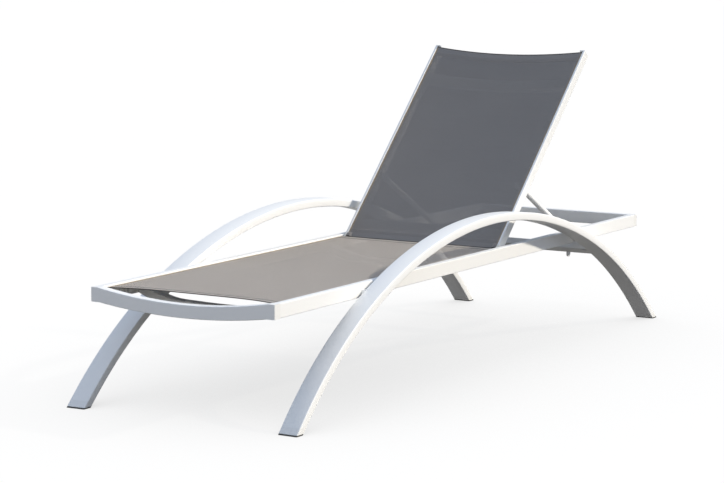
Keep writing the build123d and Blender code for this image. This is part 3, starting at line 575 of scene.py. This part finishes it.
def folded_hem(name, point, edge_share, inward, length, width, plies):
    """A strip that is folded round one edge of a sling and lies on both its faces, on some plies of mesh."""
    sizes = bpy.context.scene.lounger_sling
    gap = 0.52 * sizes.thickness + (plies + 0.5) * sizes.hem_ply  # from mesh to strip, with a little air
    round_share = 0.1  # of the strip's points, which go round the edge

    def place(around, across):
        turn = (around - 0.5) * 2
        if abs(turn) > round_share:
            inset = (abs(turn) - round_share) / (1 - round_share) * width / length
            spot, weave = point(edge_share + inward * inset, across, math.copysign(gap, turn))
        else:
            angle = turn / round_share * math.pi / 2
            spot, weave = point(edge_share - inward * gap / length * math.cos(angle), across,
                                gap * math.sin(angle))
        return spot, (weave[0] + (0.5 * width if turn > 0 else 0), weave[1])

    return woven_sheet(name, HEM_GRID, place, sizes.hem_ply)


def stitch_row(name, point, share, up):
    """A row of stitches across a sling: short rods of thread, end to end with a small gap."""
    sizes = bpy.context.scene.lounger_sling
    width = (point(share, 1)[0] - point(share, -1)[0]).length
    count = int(width / (sizes.stitch * STITCH_PITCH))
    clear_selection()
    bpy.ops.mesh.primitive_cylinder_add(vertices=8, radius=sizes.thread, depth=sizes.stitch,
                                        rotation=(math.pi / 2, 0, 0), end_fill_type="TRIFAN")
    bpy.ops.object.transform_apply(rotation=True)
    stitches = [bpy.context.object]
    for _ in range(count - 1):
        copy = stitches[0].copy()
        copy.data = stitches[0].data.copy()
        bpy.context.collection.objects.link(copy)
        stitches.append(copy)
    choose(stitches[0])
    for i, stitch in enumerate(stitches):
        stitch.location = point(share, -1 + 2 * (i + 0.5) / count, up)[0]
        stitch.select_set(True)
    bpy.ops.object.join()
    bpy.ops.object.shade_smooth()
    stitches[0].name = name
    return stitches[0]


def side_tape(name, point, side, inner, half):
    """The tape over a side hem, from the edge of the tube or rail inwards."""
    sizes = bpy.context.scene.lounger_sling
    up = 0.5 * sizes.thickness + 0.55 * sizes.tape_thickness  # just clear of the mesh

    def place(share, across):
        y = inner - (across + 1) / 2 * sizes.tape
        return point(TAPE_INSET + (1 - 2 * TAPE_INSET) * share, side * y / half, up)

    return woven_sheet(name, TAPE_GRID, place, sizes.tape_thickness)


def dressed_ends(sling, body, ends):
    """Hems, edge bindings and stitches at a sling's ends, given by name, places, edge, way in and length."""
    sizes = bpy.context.scene.lounger_sling
    thread_up = 0.5 * sizes.thickness + 1.1 * sizes.hem_ply  # the threads lie half sunk in the hem
    pieces = []
    for end, point, edge, inward, length in ends:
        hem = folded_hem(f"{sling}_hem_{end}", point, edge, inward, length, sizes.hem, 0)
        pieces.append(finish_piece(hem, body, "sling_mesh", "woven_vinyl_hem"))
        # A dark binding round each end hem's edge paints the thin shaded line at its fold
        binding = folded_hem(f"{sling}_binding_{end}", point, edge, inward, length, sizes.binding, 1)
        pieces.append(finish_piece(binding, body, "sling_mesh", "binding_painted_shade"))
        for row, inset in enumerate(STITCH_ROWS):
            stitches = stitch_row(f"{sling}_stitches_{end}_{row}", point,
                                  edge + inward * (inset * sizes.hem) / length, thread_up)
            pieces.append(finish_piece(stitches, body, "sling_mesh", "sewing_thread"))
    return pieces


def arc(centre, radius, start, end, steps):
    """Points on an arc, with its angles in degrees."""
    turns = (math.radians(start + (end - start) * i / steps) for i in range(steps + 1))
    return [(centre[0] + radius * math.cos(turn), centre[1] + radius * math.sin(turn)) for turn in turns]


def smooth_line(points, steps):
    """A smooth line through some points, with steps between each two."""
    slopes = []
    for i in range(len(points)):
        before, after = points[max(i - 1, 0)], points[min(i + 1, len(points) - 1)]
        slopes.append((after[1] - before[1]) / (after[0] - before[0]))
    line = [points[0]]
    for (x0, z0), (x1, z1), m0, m1 in zip(points, points[1:], slopes, slopes[1:]):
        run = x1 - x0
        for step in range(1, steps + 1):
            s = step / steps
            z = ((2 * s ** 3 - 3 * s * s + 1) * z0 + (s ** 3 - 2 * s * s + s) * run * m0
                 + (3 * s * s - 2 * s ** 3) * z1 + (s ** 3 - s * s) * run * m1)
            line.append((x0 + s * run, z))
    return line


def profile_piece(name, profile, place, closed):
    """An outline, drawn anticlockwise, that is pulled from one end to the other of a straight piece."""
    clear_selection()
    count = len(profile)
    bpy.ops.mesh.primitive_cylinder_add(vertices=count, radius=1, depth=2,
                                        end_fill_type="NGON" if closed else "NOTHING")
    piece = bpy.context.object
    for vertex in piece.data.vertices:
        turn = math.atan2(vertex.co.y, vertex.co.x) / (2 * math.pi)
        across, up = profile[round(turn * count) % count]
        vertex.co = place(0 if vertex.co.z < 0 else 1, across, up)
    bpy.ops.object.mode_set(mode="EDIT")
    bpy.ops.mesh.select_all(action="SELECT")
    bpy.ops.mesh.normals_make_consistent(inside=False)
    bpy.ops.object.mode_set(mode="OBJECT")
    piece.name = name
    return piece


class LOUNGER_OT_bars(bpy.types.Operator):
    """Backrest tubes with a narrow front lip over the sling's slot, their rods, and the seat's crossbars"""

    bl_idname = "lounger.bars"
    bl_label = "Backrest tubes and crossbars"

    def execute(self, context):
        sizes = context.scene.lounger_bars
        for name, side in SIDES.items():
            self.add_tube(name, side, sizes)
        for name in ("front", "rear"):
            self.add_crossbar(name, sizes)
        return {"FINISHED"}

    def add_tube(self, name, side, sizes):
        """A backrest tube with its lip, slot and shoulder, and the rod that the slot holds."""
        half = sizes.depth / 2
        shelf = half - sizes.shoulder
        slot_up = shelf + sizes.mouth / 2
        reach = math.degrees(math.asin(sizes.mouth / 2 / sizes.groove))
        slot_y = TUBE_LIP + sizes.groove * math.cos(math.radians(reach)) + sizes.slot_gap
        corner, lip, bend = sizes.corner, sizes.lip_corner, sizes.shoulder_corner
        outline = (arc((TUBE_OUTER - corner, corner - half), corner, -90, 0, CORNER_STEPS)
                   + arc((TUBE_OUTER - corner, half - corner), corner, 0, 90, CORNER_STEPS)
                   + arc((TUBE_LIP + lip, half - lip), lip, 90, 180, LIP_STEPS)
                   + [(TUBE_LIP, shelf + sizes.mouth)]
                   + arc((slot_y, slot_up), sizes.groove, 180 - reach, -180 + reach, SLOT_STEPS)
                   + [(TUBE_LIP, shelf)]
                   + arc((TUBE_INNER + bend, shelf - bend), bend, 90, 180, LIP_STEPS)
                   + arc((TUBE_INNER + corner, corner - half), corner, 180, 270, CORNER_STEPS))
        low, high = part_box(f"backrest_tube_{name}")
        run = (high.x - low.x - sizes.depth * math.sin(BACK_ANGLE)) / math.cos(BACK_ANGLE)
        foot = HINGE + BACK_ALONG * (low.x + half * math.sin(BACK_ANGLE) - HINGE.x) / math.cos(BACK_ANGLE)

        def place(end, across, up):
            spot = foot + BACK_ALONG * (end * run) + BACK_OUT * up
            return Vector((spot.x, side * across, spot.z))

        tube = profile_piece(f"backrest_side_{name}", outline, place, False)
        solid = tube.modifiers.new("Solidify", "SOLIDIFY")
        solid.thickness = sizes.wall
        solid.offset = -1
        bpy.ops.object.modifier_apply(modifier=solid.name)
        bpy.ops.object.shade_smooth_by_angle(angle=CRISP_EDGE)
        finish_piece(tube, "backrest", "white_paint")
        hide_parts(f"backrest_tube_{name}")
        round_rod = arc((slot_y, slot_up), sizes.rod, 0, 360 - 360 / ROD_STEPS, ROD_STEPS - 1)
        rod = profile_piece(f"backrest_rod_{name}", round_rod, place, True)
        bpy.ops.object.shade_smooth_by_angle(angle=CRISP_EDGE)
        finish_piece(rod, "backrest", "keder")
        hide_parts(f"backrest_keder_{name}")

    def add_crossbar(self, name, sizes):
        """A flat crossbar under the seat, whose edges dip in the middle."""
        low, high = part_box(f"seat_crossbar_{name}")
        edges = []
        for places, drops in ((sizes.bar_top_places, sizes.bar_top_drops),
                              (sizes.bar_bottom_places, sizes.bar_bottom_drops)):
            half = [(y, RAIL_HIGH.z - drop) for y, drop in zip((*places, high.y), drops)]
            edges.append(smooth_line([(-y, z) for y, z in reversed(half[1:])] + half, BAR_STEPS))
        top, bottom = edges
        bar = profile_piece(f"crossbar_{name}", bottom + top[::-1],
                            lambda end, across, up: Vector((low.x + end * (high.x - low.x), across, up)), True)
        bevel = bar.modifiers.new("Bevel", "BEVEL")
        bevel.width = sizes.bar_bevel
        bevel.segments = 2
        bevel.angle_limit = SOFT_EDGE
        bpy.ops.object.modifier_apply(modifier=bevel.name)
        bpy.ops.object.shade_smooth_by_angle(angle=SOFT_EDGE)
        finish_piece(bar, "frame", "white_paint")
        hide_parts(f"seat_crossbar_{name}")


class LOUNGER_OT_legs(bpy.types.Operator):
    """Bowed legs, each spun from a rounded rectangle round the arch's three centres"""

    bl_idname = "lounger.legs"
    bl_label = "Bowed legs"

    def execute(self, context):
        for name, side in SIDES.items():
            self.add_leg(name, side, context.scene.lounger_legs)
        return {"FINISHED"}

    def add_leg(self, name, side, sizes):
        """A leg, spun from its crest to both ends, then leaned, set out and cut level above its caps."""
        clear_selection()
        bpy.ops.mesh.primitive_plane_add(size=1, rotation=(0, math.pi / 2, 0),
                                         location=(0, 0, sizes.crest - sizes.thickness / 2))
        leg = bpy.context.object
        leg.name = f"bowed_leg_{name}"
        leg.scale = (sizes.thickness, sizes.width, 1)
        bpy.ops.object.transform_apply(location=True, rotation=True, scale=True)
        bpy.ops.object.mode_set(mode="EDIT")
        bpy.ops.mesh.select_all(action="SELECT")
        bpy.ops.mesh.bevel(offset=sizes.corner, segments=4, affect="VERTICES")
        bpy.ops.mesh.delete(type="ONLY_FACE")
        bpy.ops.mesh.select_all(action="SELECT")
        crown_z = sizes.crest - sizes.crown_radius
        reach = sizes.crown_radius - sizes.end_radius
        for end in ENDS.values():
            self.choose_crest(leg)
            bpy.ops.mesh.spin(steps=sizes.crown_steps // 2, angle=-end * sizes.crown_half_angle,
                              center=(0, 0, crown_z), axis=(0, 1, 0))
            centre = (end * reach * math.sin(sizes.crown_half_angle), 0,
                      crown_z + reach * math.cos(sizes.crown_half_angle))
            bpy.ops.mesh.spin(steps=sizes.end_steps, angle=-end * sizes.end_turn, center=centre, axis=(0, 1, 0))
        bpy.ops.mesh.select_all(action="SELECT")
        bpy.ops.mesh.remove_doubles(threshold=SAME_PLACE)
        bpy.ops.object.mode_set(mode="OBJECT")
        lean = Matrix.Rotation(side * sizes.lean, 4, "X")
        leg.data.transform(Matrix.Translation((0, side * sizes.floor_y, 0)) @ lean)
        choose(leg)
        bpy.ops.object.mode_set(mode="EDIT")
        bpy.ops.mesh.select_all(action="SELECT")
        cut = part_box(f"leg_{name}")[0].z
        bpy.ops.mesh.bisect(plane_co=(0, 0, cut), plane_no=(0, 0, 1), use_fill=True, clear_inner=True)
        bpy.ops.mesh.select_all(action="SELECT")
        bpy.ops.mesh.normals_make_consistent(inside=False)
        bpy.ops.object.mode_set(mode="OBJECT")
        bpy.ops.object.shade_smooth_by_angle(angle=CRISP_EDGE)
        finish_piece(leg, "frame", "white_paint")
        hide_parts(f"leg_{name}")

    def choose_crest(self, leg):
        """Only the tube's section at the crest is selected, in edit mode."""
        bpy.ops.object.mode_set(mode="OBJECT")
        vertices = leg.data.vertices
        lowest = min(abs(vertex.co.x) for vertex in vertices)
        for vertex in vertices:
            vertex.select = abs(vertex.co.x) < lowest + SAME_PLACE
        for edge in leg.data.edges:
            edge.select = all(vertices[i].select for i in edge.vertices)
        bpy.ops.object.mode_set(mode="EDIT")


class LOUNGER_OT_seat_sling(bpy.types.Operator):
    """Seat sling with its hems, stitches and side tapes"""

    bl_idname = "lounger.seat_sling"
    bl_label = "Seat sling"

    def execute(self, context):
        sizes = context.scene.lounger_sling
        length = SEAT_HIGH.x - SEAT_LOW.x
        sling = woven_sheet("seat_mesh", SEAT_GRID, seat_point, sizes.thickness)
        finish_piece(sling, "frame", "sling_mesh")
        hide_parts("seat_sling")
        extras = dressed_ends("seat", "frame", (("front", seat_point, 0, 1, length),
                                                ("rear", seat_point, 1, -1, length)))
        for name, side in SIDES.items():
            tape = side_tape(f"seat_tape_{name}", seat_point, side, RAIL_INNER + TAPE_IN_RAIL, SEAT_HALF)
            extras.append(finish_piece(tape, "frame", "keder"))
        return {"FINISHED"}


class LOUNGER_OT_backrest_sling(bpy.types.Operator):
    """Backrest sling with its dipping top edge, hems, stitches and side tapes"""

    bl_idname = "lounger.backrest_sling"
    bl_label = "Backrest sling"

    def execute(self, context):
        sizes = context.scene.lounger_sling
        length = sizes.back_top - sizes.back_start
        sling = woven_sheet("backrest_mesh", BACK_GRID, back_point, sizes.thickness)
        finish_piece(sling, "backrest", "sling_mesh")
        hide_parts("backrest_sling")
        tongue = sizes.back_start + sizes.hem - sizes.tongue_start
        extras = dressed_ends("backrest", "backrest", (("top", back_point, 1, -1, length),
                                                       ("lower", tongue_point, 0, 1, tongue)))
        for name, side in SIDES.items():
            tape = side_tape(f"backrest_tape_{name}", back_point, side, TUBE_LIP, BACK_HALF)
            extras.append(finish_piece(tape, "backrest", "keder"))
        return {"FINISHED"}


class LOUNGER_OT_frame_finishes(bpy.types.Operator):
    """Gives every carried-over node of the frame its finish"""

    bl_idname = "lounger.frame_finishes"
    bl_label = "Frame finishes"

    def execute(self, context):
        slots = {row["node"]: row["material_slot"] for row in frame["record"]["subparts"]}
        for node, obj in frame["nodes"].items():
            # The spacers are light in the photo, and the other nylon parts are dark
            finish = "nylon_natural" if node.startswith("leg_spacers") else SLOT_FINISHES[slots[node]]
            obj.data.materials.clear()
            obj.data.materials.append(finishes()[finish])
        return {"FINISHED"}


class LOUNGER_OT_stage(bpy.types.Operator):
    """Floor, sun, sky and camera"""

    bl_idname = "lounger.stage"
    bl_label = "Stage"

    def execute(self, context):
        stage = context.scene.lounger_stage
        self.add_floor(stage)
        self.add_light(context, stage)
        self.add_camera(context, stage)
        context.scene.view_settings.view_transform = "Standard"
        return {"FINISHED"}

    def add_floor(self, stage):
        """A pale floor: white to the camera with a soft shadow, and its own tone where the mesh shows it."""
        clear_selection()
        bpy.ops.mesh.primitive_circle_add(vertices=96, radius=stage.floor_radius, fill_type="NGON",
                                          location=(0, 0, -FLOOR_DROP))
        floor = bpy.context.object
        floor.name = "floor"
        material, tree = new_material("studio_floor")
        path = add_node(tree, "ShaderNodeLightPath").outputs
        # A ray that has come through the mesh's holes is left out, so that the mesh keeps its tone
        direct = add_node(tree, "ShaderNodeMath", {"operation": "LESS_THAN"}, {0: path["Transparent Depth"], 1: 0.5})
        seen = add_node(tree, "ShaderNodeMath", {"operation": "MULTIPLY"}, {0: path["Is Camera Ray"], 1: direct})
        for ray in ("Is Glossy Ray", "Is Transmission Ray"):
            seen = add_node(tree, "ShaderNodeMath", {"operation": "MAXIMUM"}, {0: seen, 1: path[ray]})
        # The floor pales from under the lounger to where it has the open sky over it
        open_sky = add_node(tree, "ShaderNodeAmbientOcclusion", {"samples": 8}, {
            "Distance": stage.floor_shadow_reach})
        tone = add_node(tree, "ShaderNodeMix", {"data_type": "RGBA"}, {
            0: open_sky.outputs["AO"], MIX_FIRST: linear(stage.floor_shadow),
            MIX_SECOND: linear(stage.floor_white)})
        lit = add_node(tree, "ShaderNodeBsdfDiffuse", inputs={"Color": linear(stage.floor_white)})
        plain = add_node(tree, "ShaderNodeEmission", inputs={"Color": tone.outputs[MIX_COLOUR], "Strength": 1})
        bounce = add_node(tree, "ShaderNodeBsdfDiffuse", inputs={"Color": linear(stage.floor_bounce)})
        shown = add_node(tree, "ShaderNodeMixShader", inputs={0: stage.floor_lit_share, 1: plain, 2: lit})
        surface = add_node(tree, "ShaderNodeMixShader", inputs={0: seen, 1: bounce, 2: shown})
        add_node(tree, "ShaderNodeOutputMaterial", inputs={"Surface": surface})
        floor.data.materials.append(material)

    def add_light(self, context, stage):
        """One soft sun from the head end's near side, and a sky that is palest beyond the foot end."""
        clear_selection()
        direction = Vector(stage.sun_direction).normalized()
        bpy.ops.object.light_add(type="SUN", location=direction * SUN_DISTANCE)
        sun = bpy.context.object
        sun.name = "sun"
        sun.rotation_euler = direction.to_track_quat("Z", "Y").to_euler()
        sun.data.energy = stage.sun_strength
        sun.data.angle = stage.sun_angle
        sun.data.color = linear(stage.sun_colour)[:3]
        world = bpy.data.worlds.new("sky")
        world.use_nodes = True
        tree = world.node_tree
        tree.nodes.clear()
        towards = add_node(tree, "ShaderNodeTexCoord").outputs["Generated"]
        heading = add_node(tree, "ShaderNodeSeparateXYZ", inputs={0: towards})
        turn = add_node(tree, "ShaderNodeMapRange", inputs={
            "Value": heading.outputs[0], "From Min": SKY_TURN[0], "From Max": SKY_TURN[1]})
        climb = add_node(tree, "ShaderNodeMapRange", inputs={
            "Value": heading.outputs[2], "From Min": SKY_CLIMB[0], "From Max": SKY_CLIMB[1]})
        low = add_node(tree, "ShaderNodeMix", {"data_type": "RGBA"}, {
            0: turn, MIX_FIRST: linear(stage.sky_foot), MIX_SECOND: linear(stage.sky_head)})
        tone = add_node(tree, "ShaderNodeMix", {"data_type": "RGBA"}, {
            0: climb, MIX_FIRST: low.outputs[MIX_COLOUR], MIX_SECOND: linear(stage.sky_top)})
        sky = add_node(tree, "ShaderNodeBackground", inputs={
            "Color": tone.outputs[MIX_COLOUR], "Strength": stage.sky_strength})
        white = add_node(tree, "ShaderNodeBackground", inputs={
            "Color": linear(stage.floor_white), "Strength": 1})
        camera_ray = add_node(tree, "ShaderNodeLightPath").outputs["Is Camera Ray"]
        seen = add_node(tree, "ShaderNodeMixShader", inputs={0: camera_ray, 1: sky, 2: white})
        add_node(tree, "ShaderNodeOutputWorld", inputs={"Surface": seen})
        context.scene.world = world

    def add_camera(self, context, stage):
        """The camera at the photograph's viewing angle."""
        clear_selection()
        bpy.ops.object.camera_add(location=stage.camera_place)
        camera = bpy.context.object
        camera.name = "camera"
        forward = Vector((math.cos(stage.camera_yaw) * math.cos(stage.camera_pitch),
                          math.sin(stage.camera_yaw) * math.cos(stage.camera_pitch),
                          -math.sin(stage.camera_pitch)))
        camera.rotation_euler = forward.to_track_quat("-Z", "Y").to_euler()
        camera.data.sensor_width = FILM_WIDTH
        camera.data.sensor_fit = "HORIZONTAL"
        camera.data.lens = stage.lens
        camera.data.clip_end = VIEW_END
        context.scene.camera = camera


class LOUNGER_PT_panel(bpy.types.Panel):
    """Lists the lounger's pieces and sizes"""

    bl_idname = "LOUNGER_PT_panel"
    bl_label = "Sling lounger"
    bl_space_type = "VIEW_3D"
    bl_region_type = "UI"
    bl_category = "Lounger"

    def draw(self, context):
        for operator in OPERATORS:
            self.layout.operator(operator.bl_idname)
        for name, group in SETTINGS.items():
            box = self.layout.box()
            for key in group.__annotations__:
                box.prop(getattr(context.scene, name), key)


SETTINGS = {
    "lounger_legs": LegSizes, "lounger_bars": BarSizes, "lounger_sling": SlingSizes,
    "lounger_finish": FinishSettings, "lounger_stage": StageSettings,
}
OPERATORS = (LOUNGER_OT_frame_finishes, LOUNGER_OT_legs, LOUNGER_OT_bars, LOUNGER_OT_seat_sling,
             LOUNGER_OT_backrest_sling, LOUNGER_OT_stage)


def register():
    for cls in (*SETTINGS.values(), *OPERATORS, LOUNGER_PT_panel):
        bpy.utils.register_class(cls)
    for name, group in SETTINGS.items():
        setattr(bpy.types.Scene, name, bpy.props.PointerProperty(type=group))


def unregister():
    for name in SETTINGS:
        delattr(bpy.types.Scene, name)
    for cls in (LOUNGER_PT_panel, *reversed(OPERATORS), *reversed(SETTINGS.values())):
        bpy.utils.unregister_class(cls)


def main():
    """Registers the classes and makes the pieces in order."""
    register()
    bpy.ops.lounger.frame_finishes()
    bpy.ops.lounger.legs()
    bpy.ops.lounger.bars()
    bpy.ops.lounger.seat_sling()
    bpy.ops.lounger.backrest_sling()
    bpy.ops.lounger.stage()


if __name__ == "__main__":
    main()
